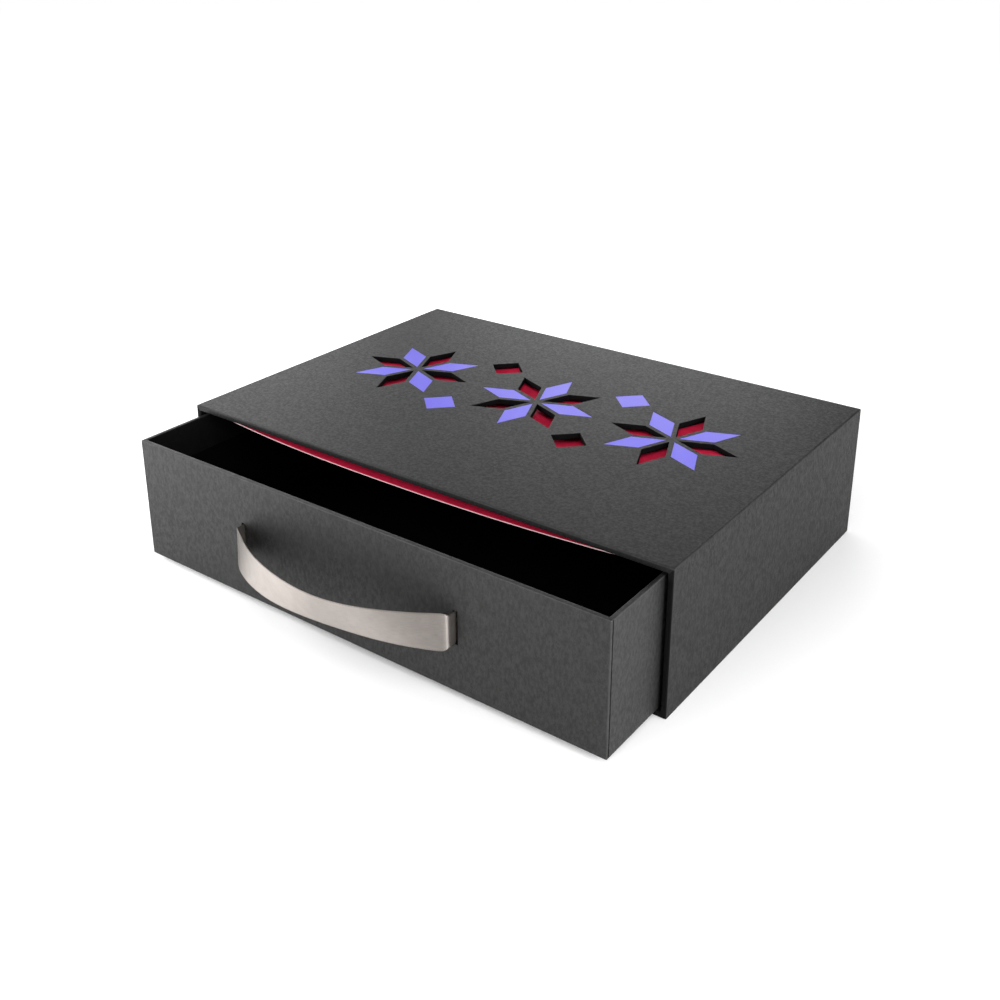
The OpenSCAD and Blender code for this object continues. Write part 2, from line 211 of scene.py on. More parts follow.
def add_loft(bm, rings):
    """A closed skin over rings with as many points each, flat at both ends."""
    rows = [[bm.verts.new(point) for point in ring] for ring in rings]
    count = len(rings[0])
    faces = []
    for row, following in zip(rows, rows[1:]):
        for i in range(count):
            j = (i + 1) % count
            faces.append(bm.faces.new((row[i], row[j], following[j], following[i])))
    faces.append(bm.faces.new(rows[0][::-1]))
    faces.append(bm.faces.new(rows[-1]))
    return faces


def make_object(name, bm):
    """An object in metres from a mesh in millimetres."""
    bmesh.ops.recalc_face_normals(bm, faces=bm.faces)
    bmesh.ops.scale(bm, vec=(MM, MM, MM), verts=bm.verts)
    mesh = bpy.data.meshes.new(name)
    bm.to_mesh(mesh)
    bm.free()
    obj = bpy.data.objects.new(name, mesh)
    bpy.context.collection.objects.link(obj)
    return obj


def apply_modifiers(obj):
    """Make the modified mesh the object's own."""
    graph = bpy.context.evaluated_depsgraph_get()
    mesh = bpy.data.meshes.new_from_object(obj.evaluated_get(graph))
    old = obj.data
    obj.modifiers.clear()
    obj.data = mesh
    bpy.data.meshes.remove(old)


def cut(obj, bm):
    """Cut closed shapes out of a piece."""
    cutter = make_object("cutter", bm)
    modifier = obj.modifiers.new("cut", "BOOLEAN")
    modifier.solver = "EXACT"
    modifier.operation = "DIFFERENCE"
    modifier.object = cutter
    apply_modifiers(obj)
    bpy.data.objects.remove(cutter)


def shade(obj, sharp=35):
    """Smooth shading that keeps flat faces flat and sharp edges sharp."""
    obj.data.shade_smooth()
    obj.data.set_sharp_from_angle(angle=math.radians(sharp))
    modifier = obj.modifiers.new("normals", "WEIGHTED_NORMAL")
    modifier.keep_sharp = True


def dress(obj, body, materials, replaced):
    """Say what a piece rides on, its finish, and the CAD nodes that it stands for."""
    for material in materials:
        obj.data.materials.append(material)
    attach(obj, body)
    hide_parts(*replaced)


# ---------- folded paper shells ----------

FOLD_STEPS = 5
CORNER_STEPS = 4


def rounded_profile(corners):
    """A right-angled profile with round corners, from (inset, level, radius)."""
    points = []
    for i, (inset, level, radius) in enumerate(corners):
        here = Vector((inset, level))
        if radius == 0:
            points.append(here)
            continue
        before = (Vector(corners[i - 1][:2]) - here).normalized() * radius
        after = (Vector(corners[i + 1][:2]) - here).normalized() * radius
        centre = here + before + after
        for step in range(FOLD_STEPS + 1):
            angle = math.pi / 2 * step / FOLD_STEPS
            points.append(centre - after * math.cos(angle) - before * math.sin(angle))
    return points


def outline(half, low, high, radius, seam=(), seam_from=0, mitre=0):
    """A rounded rectangle as (across, along, sunk) points, anticlockwise.

    seam holds (distance, depth) of extra points on the two sides, and mitre sinks the
    middle of each corner.
    """
    inner = half - radius
    corners = ((inner, high - radius, 0), (-inner, high - radius, 90),
               (-inner, low + radius, 180), (inner, low + radius, 270))
    sides = []
    for k, (distance, depth) in enumerate(seam):
        along = max(seam_from + distance, low + radius + HIDDEN_R * (k + 1))
        sides.append((half - depth, along, 0))
    points = []
    for number, (across, along, start) in enumerate(corners):
        for step in range(CORNER_STEPS + 1):
            angle = math.radians(start + 90 * step / CORNER_STEPS)
            sunk = mitre if step == CORNER_STEPS // 2 else 0
            points.append((across + radius * math.cos(angle),
                           along + radius * math.sin(angle), sunk))
        if number == 1:
            points += [(-across, along, sunk)
                       for across, along, sunk in reversed(sides)]
        if number == 3:
            points += sides
    return points


def shell(bm, low, high, axis, profile, radius_at, sunk_at, seam=()):
    """A folded sheet round a box: a loft of outlines along Y or Z.

    profile holds (inset, level), radius_at gives the corner radius at a place of the
    profile, and sunk_at how deep its corners' mitres are there.
    """
    rings = []
    for place, (inset, level) in enumerate(profile):
        if axis == "Y":
            near, far = low.z, high.z
        else:
            near, far = low.y, high.y
        seam_here = [(d, depth if inset < FOLD_R else 0) for d, depth in seam]
        points = outline(high.x - inset, near + inset, far - inset,
                         radius_at(place, inset), seam_here, near, sunk_at(level))
        if axis == "Y":
            rings.append([Vector((a, level + sunk, b)) for a, b, sunk in points])
        else:
            rings.append([Vector((a, b, level - sunk)) for a, b, sunk in points])
    add_loft(bm, rings)


def diamond(half_l, half_w, turn, centre, z, grow=0):
    """A rhombus at a height, with its sides moved outward by grow."""
    k = 1 + grow * math.hypot(half_l, half_w) / (half_l * half_w)
    ring = []
    for x, y in ((half_l * k, 0), (0, half_w * k), (-half_l * k, 0), (0, -half_w * k)):
        across = x * math.cos(turn) - y * math.sin(turn)
        along = x * math.sin(turn) + y * math.cos(turn)
        ring.append(Vector((centre[0] + across, centre[1] + along, z)))
    return ring


def ornament(kind):
    """Each rhombus as (half length, half width, turn, centre): 0 windows, 1 stamped."""
    pieces = []
    half_l = STAR_R / 2
    half_w = half_l * math.tan(math.radians(22.5))
    k = 1 - PIECE_INSET * math.hypot(half_l, half_w) / (half_l * half_w)
    for i in range(STAR_COUNT):
        middle_x = (i - (STAR_COUNT - 1) / 2) * STAR_PITCH
        for arm in range(4):
            turn = math.radians(90 * arm + 45 * ((i + kind) % 2))
            centre = (middle_x + half_l * math.cos(turn),
                      STAR_BACK + half_l * math.sin(turn))
            pieces.append((half_l * k, half_w * k, turn, centre))
    for i in range(STAR_COUNT - 1):
        side = (1, -1)[(i + kind) % 2]
        centre = ((i + 1 - STAR_COUNT / 2) * STAR_PITCH, STAR_BACK + side * SQUARE_OFF)
        pieces.append((SQUARE_R, SQUARE_R, 0, centre))
    return pieces


def add_diamonds(bm, kind, levels):
    """Closed shapes over every piece of the ornament, from (grow, height) levels."""
    for half_l, half_w, turn, centre in ornament(kind):
        add_loft(bm, [diamond(half_l, half_w, turn, centre, z, grow)
                      for grow, z in levels])


def add_block(bm, low, high):
    """A closed block between two corners."""
    (x0, y0, z0), (x1, y1, z1) = low, high
    corners = ((x0, y0), (x1, y0), (x1, y1), (x0, y1))
    add_loft(bm, [[Vector((x, y, z)) for x, y in corners] for z in (z0, z1)])


def add_slots(bm):
    """The drawer's two ribbon slots, with the paper's edge a little worn open."""
    worn_open = ((SLOT_WORN, front_y - 0.15), (0, front_y + 0.1), (0, lining_low.y + 2))
    for side in (-1, 1):
        rings = []
        for grow, y in worn_open:
            half_w = SLOT_W / 2 + grow
            half_h = ROOT_W / 2 + SLOT_PLAY + grow
            centre_x = slots_x + side * slot_x
            rings.append([Vector((centre_x + x, y, ribbon_z + z)) for x, z in
                          ((-half_w, -half_h), (half_w, -half_h),
                           (half_w, half_h), (-half_w, half_h))])
        add_loft(bm, rings)


# ---------- pieces ----------


def sleeve_paper(material, shaded_inner_material):
    """Cover paper of the sleeve: outside, round the lip and turned in."""
    y0, y1, turn_y = sleeve_low.y, sleeve_high.y, liner_low.y
    shown = rounded_profile([(HIDDEN_IN, y1, 0), (0, y1, FOLD_R), (0, y0, FOLD_R),
                             (sleeve_wall, y0, FOLD_R), (sleeve_wall, turn_y, 0)])
    t = paper_t
    hidden = [Vector(p) for p in ((sleeve_wall - t, turn_y), (sleeve_wall - t, y0 + t),
                                  (t, y0 + t), (t, y1 - t), (HIDDEN_IN, y1 - t))]

    def radius_at(place, inset):
        if place >= len(shown):
            return HIDDEN_R
        outer = max(FOLD_R - inset, LEAST_R)
        share = max(0, inset - FOLD_R) / (sleeve_wall - FOLD_R)
        if place > len(shown) // 3:
            return outer + (INNER_CORNER_R - LEAST_R) * min(1, share)
        return outer

    def sunk_at(level):
        return MITRE if level <= y0 + 0.01 else 0

    bm = bmesh.new()
    shell(bm, sleeve_low, sleeve_high, "Y", shown + hidden, radius_at, sunk_at)
    obj = make_object("sleeve_paper", bm)
    base_low, base_high = limits("sleeve_base_sheet")
    bm = bmesh.new()
    add_block(bm, (base_low.x - BASE_GAP, base_low.y - BASE_GAP, -CUT_PAST),
              (base_high.x + BASE_GAP, base_high.y + BASE_GAP, 2 * t))
    add_diamonds(bm, 0, ((0, top_z - 3 * t), (0, top_z - CUT_CHAMFER),
                         (2 * CUT_CHAMFER, top_z + CUT_CHAMFER)))
    add_diamonds(bm, 1, ((0, top_z - STAMP_DEPTH), (0, top_z - FOIL_DOWN),
                         (2 * FOIL_DOWN, top_z + FOIL_DOWN)))
    cut(obj, bm)
    shade(obj)
    # The turned-in part, and the lip that faces forward, get the inner paper: painted
    # shade
    past_fold = 0.8 * FOLD_R
    for face in obj.data.polygons:
        x, y, z = face.center / MM
        inside = abs(x) < sleeve_high.x - past_fold and z > past_fold
        under_top = z < top_z - sleeve_wall + NEAR
        if y < turn_y and under_top and (inside or face.normal.y < -0.6):
            face.material_index = 1
    dress(obj, "sleeve", [material, shaded_inner_material], ["sleeve_wrap"])


def foil_pieces(material):
    """Stamped pieces, a little below the paper's face, with soft edges."""
    bm = bmesh.new()
    face = top_z - FOIL_DOWN
    side = -FOIL_AIR
    add_diamonds(bm, 1, ((side, top_z - STAMP_DEPTH), (side, face - FOIL_ROUND),
                         (side - FOIL_ROUND / 3, face - FOIL_ROUND / 3),
                         (side - FOIL_ROUND, face)))
    obj = make_object("foil_pieces", bm)
    shade(obj, 30)
    dress(obj, "sleeve", [material], ["foil_inlays"])


def red_card(face_material, edge_material):
    """The sagging card behind the windows: red, and pale at its cut edges."""
    card_x, y0, y1 = card_high.x, card_low.y, card_high.y
    sag_x = card_x - TAPED
    sag_len = limits("drawer_liner")[1].y - paper_t - y0
    nx, ny = CARD_STEPS
    xs = [-card_x] + [sag_x * (2 * i / nx - 1) for i in range(nx + 1)] + [card_x]
    ys = [y0 + sag_len * (j / ny) ** CARD_CROWD for j in range(ny + 1)] + [y1]

    def height(x, y):
        share = x / sag_x
        left = CARD_LEFT * max(0, -share) ** CARD_LEFT_CURVE
        across = max(0, 1 - share ** 2) * (1 + left)
        fade = max(0, 1 - (y - y0) / sag_len) ** CARD_FADE
        return ceiling_z - CARD_AIR - CARD_SAG * across * fade

    bm = bmesh.new()
    sheets = []
    for drop in (0, CARD_T - CARD_AIR):
        sheets.append([[bm.verts.new((x, y, height(x, y) - drop)) for x in xs]
                       for y in ys])
    top, bottom = sheets
    for sheet in sheets:
        for row, following in zip(sheet, sheet[1:]):
            for i in range(len(xs) - 1):
                bm.faces.new((row[i], row[i + 1], following[i + 1], following[i]))
    rim_top = (top[0] + [row[-1] for row in top[1:]] + top[-1][-2::-1]
               + [row[0] for row in reversed(top[1:-1])])
    rim_bottom = (bottom[0] + [row[-1] for row in bottom[1:]] + bottom[-1][-2::-1]
                  + [row[0] for row in reversed(bottom[1:-1])])
    for i in range(len(rim_top)):
        j = (i + 1) % len(rim_top)
        face = bm.faces.new((rim_top[i], rim_top[j], rim_bottom[j], rim_bottom[i]))
        face.material_index = 1
    obj = make_object("red_card", bm)
    shade(obj)
    dress(obj, "sleeve", [face_material, edge_material],
          ["red_backing_card"])
    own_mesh(obj)


def drawer_paper(material, seam_shade_material, shaded_inner_material):
    """Cover paper of the drawer: bottom, sides, over the rim and turned down inside."""
    z0, z1, turn_z = tray_low.z, tray_high.z, lining_high.z
    t = paper_t
    shown = rounded_profile([(HIDDEN_IN, z0, 0), (0, z0, RIM_OUT_R), (0, z1, RIM_OUT_R),
                             (tray_wall, z1, RIM_IN_R), (tray_wall, turn_z, 0)])
    hidden = [Vector(p) for p in ((tray_wall - t, turn_z), (tray_wall - t, z1 - t),
                                  (t, z1 - t), (t, z0 + t), (HIDDEN_IN, z0 + t))]

    def radius_at(place, inset):
        if place >= len(shown):
            return HIDDEN_R
        outer = max(RIM_OUT_R - inset, LEAST_R)
        share = max(0, inset - RIM_OUT_R) / (tray_wall - RIM_OUT_R)
        if place > len(shown) // 3:
            return outer + (INNER_CORNER_R - LEAST_R) * min(1, share)
        return outer

    def sunk_at(level):
        return MITRE if level >= z1 - 0.01 else 0

    bm = bmesh.new()
    shell(bm, tray_low, tray_high, "Z", shown + hidden, radius_at, sunk_at, SEAM)
    obj = make_object("drawer_paper", bm)
    bm = bmesh.new()
    add_slots(bm)
    cut(obj, bm)
    shade(obj)
    # Painted shade on the seam's groove, and the darker inner paper turned down inside
    seam_low, seam_high = front_y + SEAM[0][0], front_y + SEAM[-1][0]
    outer_x = tray_high.x - 3 * NEAR
    inner_x, inner_y = lining_high.x - paper_t + NEAR, lining_low.y + paper_t - NEAR
    for face in obj.data.polygons:
        x, y, z = face.center / MM
        upright = abs(face.normal.z) < 0.5
        if upright and seam_low < y < seam_high and abs(x) > outer_x:
            face.material_index = 1
        if upright and abs(x) < inner_x and y > inner_y and z > turn_z - 1:
            face.material_index = 2
    dress(obj, "drawer", [material, seam_shade_material, shaded_inner_material],
          ["drawer_wrap"])


def drawer_lining(material):
    """Lining paper: the floor and the walls, round in its corners."""
    z0, z1 = lining_low.z, lining_high.z - LINING_DROP
    t = paper_t
    shown = rounded_profile([(LINING_IN, z0 + t, 0), (t, z0 + t, LINING_R), (t, z1, 0)])
    hidden = [Vector(p) for p in ((0, z1), (0, z0), (LINING_IN, z0))]

    def radius_at(place, inset):
        if place >= len(shown):
            return HIDDEN_R
        return max(LINING_R - (inset - t), LEAST_R)

    bm = bmesh.new()
    shell(bm, lining_low, lining_high, "Z", shown + hidden, radius_at, lambda level: 0)
    obj = make_object("drawer_lining", bm)
    bm = bmesh.new()
    add_slots(bm)
    cut(obj, bm)
    shade(obj)
    dress(obj, "drawer", [material], ["drawer_liner"])


# ---------- ribbon ----------


def cubic(points, t):
    """A point of a cubic curve with four control points."""
    a, b, c, d = points
    return ((1 - t) ** 3 * a + 3 * (1 - t) ** 2 * t * b
            + 3 * (1 - t) * t * t * c + t ** 3 * d)


def half_loop(apex_x, lay):
    """Half of the loop in plan, as (x, distance out), from a slot to the apex."""
    bend_end = Vector((-loop_x + BEND_R * (1 - math.sin(lay)),
                       EXIT_LEN + BEND_R * math.cos(lay)))
    apex = Vector((apex_x, LOOP_OUT))
    ahead = Vector((math.cos(lay), math.sin(lay)))
    control = (bend_end, bend_end + REACH * ahead, apex - Vector((REACH, 0)), apex)
    points = [Vector((-loop_x, out)) for out in (-ROOT_IN, 0, EXIT_LEN / 2)]
    bend_steps, sweep_steps = 16, 60
    for i in range(bend_steps + 1):
        angle = math.pi - (math.pi / 2 - lay) * i / bend_steps
        points.append(Vector((-loop_x + BEND_R * (1 + math.cos(angle)),
                              EXIT_LEN + BEND_R * math.sin(angle))))
    points += [cubic(control, i / sweep_steps) for i in range(1, sweep_steps + 1)]
    return points


def evenly(points, step):
    """Points at equal distances along a polyline, and the polyline's length."""
    reach = [0]
    for p, q in zip(points, points[1:]):
        reach.append(reach[-1] + (q - p).length)
    count = round(reach[-1] / step)
    places = []
    k = 0
    for i in range(count + 1):
        want = reach[-1] * i / count
        while k < len(points) - 2 and reach[k + 1] < want:
            k += 1
        share = (want - reach[k]) / (reach[k + 1] - reach[k])
        places.append(points[k].lerp(points[k + 1], share))
    return places, reach[-1]


def hump(x, centre, width):
    """A smooth hump of height 1 at centre, down to 0 at a distance width."""
    if abs(x - centre) > width:
        return 0
    return (1 + math.cos(math.pi * (x - centre) / width)) / 2


def lean_at(point):
    """How far the ribbon's upper edge leans outward, in radians."""
    free = min(1, max(0, (point[1] - EXIT_LEN) / (2 * BEND_R)))
    share = point[0] / loop_x
    lean = LEAN_OUT * hump(share, *LEAN_OUT_AT) - LEAN_IN * hump(share, *LEAN_IN_AT)
    return math.radians(free * lean)


def width_at(out):
    """The ribbon's width at a distance from the front: it is drawn in at the slots."""
    free = min(1, max(0, (out - EXIT_LEN) / BEND_R))
    return ROOT_W + (RIBBON_W - ROOT_W) * free * free * (3 - 2 * free)


RIBBON_ACROSS = (1, 0.97, 0.94, 0.9, 0.75, 0.45, 0.15, -0.15, -0.45, -0.75, -0.9, -0.94,
                 -0.97, -1)


def ribbon_section(place, width):
    """The ribbon's cross-section as (across, thickness) pairs at a length along it."""
    rib = 0.5 + 0.5 * math.cos(2 * math.pi * place / RIB_PITCH)
    section = []
    for face in (1, -1):
        row = []
        for share in RIBBON_ACROSS:
            across = share * width / 2
            from_edge = width / 2 - abs(across)
            band = max(0, 1 - from_edge / RIB_BAND)
            round_off = min(1, from_edge / EDGE_ROUND)
            thick = RIBBON_T / 2 * (EDGE_THIN + (1 - EDGE_THIN) * math.sqrt(round_off))
            thick += band * round_off * RIB_DEEP * (rib - 0.3)
            if from_edge < 0.01:
                across -= math.copysign(0.05 * (1 - rib), across)
            row.append((across, face * thick))
        section += row if face == 1 else row[::-1]
    return section


def sweep_ribbon(bm, layer, centres, widths, leans):
    """A woven strip along centres, with its width and its tilt at each of them."""
    step = (centres[1] - centres[0]).length
    last = len(centres) - 1
    rings = []
    for i, (centre, width, lean) in enumerate(zip(centres, widths, leans)):
        run = (centres[min(i + 1, last)] - centres[max(i - 1, 0)]).normalized()
        outward = Vector((run.y, -run.x, 0))
        up = math.sin(lean) * outward + math.cos(lean) * Vector((0, 0, 1))
        thick = math.cos(lean) * outward - math.sin(lean) * Vector((0, 0, 1))
        rings.append([centre + a * up + t * thick
                      for a, t in ribbon_section(i * step, width)])
    first = len(bm.verts)
    faces = add_loft(bm, rings)
    bm.verts.ensure_lookup_table()
    bm.verts.index_update()
    count = len(rings[0])
    across = [a for a, t in ribbon_section(0, RIBBON_W)]
    for face in faces:
        for loop in face.loops:
            index = loop.vert.index - first
            loop[layer].uv = (across[index % count] / RIBBON_W + 0.5,
                              (index // count) * step / RIBBON_W)


def ribbon_loop(material):
    """The pull, woven along its edges, from slot to slot."""
    left = half_loop(APEX_X, LEFT_LAY)
    right = [Vector((-p.x, p.y)) for p in reversed(half_loop(-APEX_X, RIGHT_LAY)[:-1])]
    plan, length = evenly(left + right, RIB_PITCH / 4)
    centres = [Vector((slots_x + p.x, front_y - p.y, ribbon_z)) for p in plan]
    bm = bmesh.new()
    layer = bm.loops.layers.uv.new("ribbon")
    sweep_ribbon(bm, layer, centres, [width_at(p.y) for p in plan],
                 [lean_at(p) for p in plan])
    obj = make_object("ribbon_loop", bm)
    shade(obj, 60)
    dress(obj, "ribbon", [material], ["ribbon_handle"])


def ribbon_ends(material):
    """The ribbon's two glued ends: through the slot, then flat on the lining."""
    flat_y = lining_low.y + paper_t + RIBBON_T / 2 + END_AIR
    bm = bmesh.new()
    layer = bm.loops.layers.uv.new("ribbon")
    for side in (-1, 1):
        centre_x = side * (end_x + RIBBON_T / 2)
        points = [Vector((centre_x, front_y + END_IN))]
        corner = Vector((centre_x + side * END_BEND, flat_y - END_BEND))
        for i in range(END_STEPS + 1):
            angle = math.pi / 2 * i / END_STEPS
            points.append(Vector((corner.x - side * END_BEND * math.cos(angle),
                                  corner.y + END_BEND * math.sin(angle))))
        points.append(Vector((side * (end_x + END_LEN), flat_y)))
        plan, length = evenly(points, RIB_PITCH / 4)
        centres = [Vector((slots_x + p.x, p.y, ribbon_z)) for p in plan]
        widths = []
        for p in plan:
            open_out = min(1, max(0, (abs(p.x) - end_x) / END_SPREAD - 0.2))
            widths.append(ROOT_W + (RIBBON_W - ROOT_W) * open_out)
        sweep_ribbon(bm, layer, centres, widths, [0] * len(centres))
    obj = make_object("ribbon_ends", bm)
    shade(obj, 60)
    dress(obj, "drawer", [material], ["ribbon_tails"])


# ---------- material tools ----------


class Look:
    """A node material that is built up by small steps."""

    def __init__(self, name, base, roughness, **settings):
        self.material = bpy.data.materials.new(name)
        self.material.use_nodes = True
        self.tree = self.material.node_tree
        self.shader = self.tree.nodes["Principled BSDF"]
        self.base = base
        self.shader.inputs["Base Color"].default_value = (*base, 1)
        self.shader.inputs["Roughness"].default_value = roughness
        for key, value in settings.items():
            self.shader.inputs[key.replace("_", " ")].default_value = value
        self.place = self.node("ShaderNodeTexCoord").outputs["Object"]

    def node(self, kind, inputs=(), **settings):
        node = self.tree.nodes.new(kind)
        for key, value in settings.items():
            setattr(node, key, value)
        for key, value in dict(inputs).items():
            if isinstance(value, bpy.types.NodeSocket):
                self.tree.links.new(value, node.inputs[key])
            else:
                node.inputs[key].default_value = value
        return node

    def math(self, operation, *values, clamp=False):
        return self.node("ShaderNodeMath", dict(enumerate(values)), operation=operation,
                         use_clamp=clamp).outputs[0]

    def noise(self, size, detail=3, stretch=(1, 1, 1), distortion=0, roughness=0.55):
        """Noise with features of a size in millimetres, stretched along the axes."""
        scale = tuple(1 / s for s in stretch)
        mapped = self.node("ShaderNodeMapping", {"Vector": self.place, "Scale": scale})
        return self.node("ShaderNodeTexNoise",
                         {"Vector": mapped.outputs[0], "Scale": 1 / (size * MM),
                          "Detail": detail, "Distortion": distortion,
                          "Roughness": roughness}).outputs["Fac"]

    def steps(self, value, low, high, out_low=0, out_high=1):
        """A value from low..high brought smoothly to out_low..out_high."""
        return self.node("ShaderNodeMapRange",
                         {"Value": value, "From Min": low, "From Max": high,
                          "To Min": out_low, "To Max": out_high},
                         interpolation_type="SMOOTHSTEP").outputs["Result"]

    def mix(self, factor, first, second):
        """Colour first where factor is 0, and second where it is 1."""
        node = self.tree.nodes.new("ShaderNodeMix")
        node.data_type = "RGBA"
        self.tree.links.new(factor, node.inputs[0])
        for index, colour in ((6, first), (7, second)):
            if isinstance(colour, bpy.types.NodeSocket):
                self.tree.links.new(colour, node.inputs[index])
            else:
                node.inputs[index].default_value = (*colour, 1)
        return node.outputs[2]

    def paint(self, colour, roughness=None):
        self.tree.links.new(colour, self.shader.inputs["Base Color"])
        if roughness is not None:
            self.tree.links.new(roughness, self.shader.inputs["Roughness"])

    def bump(self, height, depth, strength):
        """Relief of a depth in millimetres."""
        node = self.node("ShaderNodeBump", {"Height": height, "Strength": strength,
                                            "Distance": depth * MM})
        self.tree.links.new(node.outputs[0], self.shader.inputs["Normal"])

    def tone(self, field, dark, light, low=0.3, high=0.7):
        """The base colour, times dark where a field is low, times light where high."""
        first, second = shades(self.base, dark, light)
        return self.mix(self.steps(field, low, high), first, second)

    def grained(self, field, tones, roughness, relief, span=(0.3, 0.7)):
        """Colour, roughness and relief that all follow one field."""
        self.paint(self.tone(field, *tones, *span),
                   self.steps(field, *span, *roughness))
        self.bump(field, *relief)

    def edge_distance(self, low, high):
        """Distance in metres to the nearest edge of a box."""
        parts = self.node("ShaderNodeSeparateXYZ", {0: self.place}).outputs
        away = []
        for k in range(3):
            middle = (low[k] + high[k]) / 2 * MM
            half = (high[k] - low[k]) / 2 * MM
            offset = self.math("ABSOLUTE", self.math("SUBTRACT", parts[k], middle))
            away.append(self.math("ABSOLUTE", self.math("SUBTRACT", half, offset)))
        least = self.math("MINIMUM", away[0], away[1])
        most = self.math("MAXIMUM", away[0], away[1])
        return self.math("MAXIMUM", least, self.math("MINIMUM", most, away[2]))


def shades(colour, *factors):
    """The colour made lighter or darker, once for each factor."""
    return [tuple(c * factor for c in colour) for factor in factors]


# ---------- materials ----------

# Cover papers: colour and specular level. The sleeve's copy is darker and duller:
# painted shade
SLEEVE_COVER_SHADED = (0.0070, 0.0068, 0.0069)
SLEEVE_GLOSS_SHADED = 0.2
DRAWER_COVER = (0.0092, 0.0090, 0.0091)
DRAWER_GLOSS = 0.35
# What part of a mottle's range is seen, the colour of the folds' wear and painted
# highlight, and how far from the edge these begin and have faded
MOTTLE_SPAN = (0.34, 0.66)
WEAR_AND_HIGHLIGHT_COVER = (0.034, 0.034, 0.034)
WEAR_HIGHLIGHT_FROM, WEAR_HIGHLIGHT_TO = 0.2, 0.6
# Ribbon: colour of its threads, and the painted shade in the gaps of its woven edge
SATIN = (0.33, 0.3, 0.28)
SATIN_GAP_SHADE = (0.17, 0.145, 0.132)


def cover_paper(name, base, gloss, low, high):
    """Dark uncoated paper: soft mottle, fine fibres, and pale wear with a painted
    highlight along the folds.
    """
    look = Look(name, base, 0.55, IOR=1.5, Specular_IOR_Level=gloss)
    mottle = look.noise(1.1, detail=4, stretch=(1, 1, 1.8), roughness=0.65)
    fibre = look.noise(0.32, detail=2, stretch=(1, 1, 2.5), distortion=0.4)
    field = look.math("ADD", look.math("MULTIPLY", mottle, 0.75),
                      look.math("MULTIPLY", fibre, 0.25))
    colour = look.tone(field, 0.5, 1.65, *MOTTLE_SPAN)
    edge = look.edge_distance(low, high)
    scuff = look.noise(6, detail=5, roughness=0.7)
    # Pale along the folds: partly wear, partly a painted highlight
    wear_and_highlight = look.math("MULTIPLY", look.steps(edge, WEAR_HIGHLIGHT_TO * MM, WEAR_HIGHLIGHT_FROM * MM),
                     look.steps(scuff, 0.3, 0.7, 0.4, 1.0))
    colour = look.mix(wear_and_highlight, colour, WEAR_AND_HIGHLIGHT_COVER)
    look.paint(colour, look.steps(field, *MOTTLE_SPAN, 0.62, 0.49))
    look.bump(look.math("ADD", fibre, look.math("MULTIPLY", mottle, 0.8)), 0.04, 0.8)
    return look.material


def seam_shade_paint():
    """Painted shade, dark and dull, in the groove where the side flap ends behind the
    corner.
    """
    look = Look("seam_shade_look", (0.004, 0.004, 0.004), 0.9, IOR=1.4,
                Specular_IOR_Level=0.05)
    patches = look.noise(0.8, detail=3, stretch=(1, 1, 4))
    look.grained(patches, (0.5, 2.2), (0.8, 0.95), (0.02, 0.5), span=(0.35, 0.65))
    return look.material


def shaded_inner_paper():
    """The cover where it is turned in and on the front lip: matt, pressed, unworn,
    darker as painted shade.
    """
    look = Look("shaded_inner_look", (0.0035, 0.0034, 0.0035), 0.8, IOR=1.45,
                Specular_IOR_Level=0.12)
    mottle = look.noise(0.9, detail=4, stretch=(1, 1, 1.8))
    look.grained(mottle, (0.6, 1.5), (0.74, 0.88), (0.04, 0.6), span=MOTTLE_SPAN)
    return look.material


def base_paper():
    """The sheet under the sleeve: plain dark paper with long fibres."""
    look = Look("base_look", (0.012, 0.012, 0.012), 0.7, IOR=1.45)
    fibre = look.noise(0.5, detail=4, stretch=(3, 1, 1))
    look.grained(fibre, (0.75, 1.2), (0.65, 0.78), (0.03, 0.5))
    return look.material


def lining_paper():
    """The linings: nearly black, matt paper with fine fibres."""
    look = Look("lining_look", (0.0022, 0.0022, 0.0024), 0.85, IOR=1.4,
                Specular_IOR_Level=0.04)
    fibre = look.noise(0.4, detail=4, stretch=(1, 2.5, 1))
    look.grained(fibre, (0.8, 1.3), (0.7, 0.82), (0.03, 0.4))
    return look.material


def black_board():
    """Solid black board: matted fibres, in layers at its cut edges."""
    look = Look("board_look", (0.0035, 0.0035, 0.0037), 0.85, IOR=1.4,
                Specular_IOR_Level=0.12)
    layers = look.noise(0.18, detail=3, stretch=(12, 12, 1), distortion=0.3)
    fibre = look.noise(0.5, detail=4)
    field = look.math("ADD", look.math("MULTIPLY", layers, 0.6),
                      look.math("MULTIPLY", fibre, 0.4))
    look.paint(look.tone(field, 0.6, 1.5), look.steps(fibre, 0.3, 0.7, 0.8, 0.92))
    look.bump(field, 0.05, 0.6)
    return look.material


def gummed_tape():
    """Brown kraft tape, with fibres along it and darker flecks."""
    look = Look("gummed_look", (0.33, 0.2, 0.1), 0.6, IOR=1.45)
    fibre = look.noise(0.6, detail=5, stretch=(1, 4, 4))
    fleck = look.steps(look.noise(1.1, detail=2), 0.68, 0.75)
    look.paint(look.mix(fleck, look.tone(fibre, 0.75, 1.15), (0.12, 0.07, 0.035)),
               look.steps(fibre, 0.3, 0.7, 0.5, 0.68))
    look.bump(fibre, 0.03, 0.5)
    return look.material


def paper_tape():
    """Cream paper tape with a fine crepe across it."""
    look = Look("crepe_look", (0.6, 0.55, 0.43), 0.6, IOR=1.45)
    crepe = look.noise(0.35, detail=3, stretch=(8, 1, 8), distortion=0.3)
    look.grained(crepe, (0.85, 1.08), (0.55, 0.68), (0.05, 0.6))
    return look.material


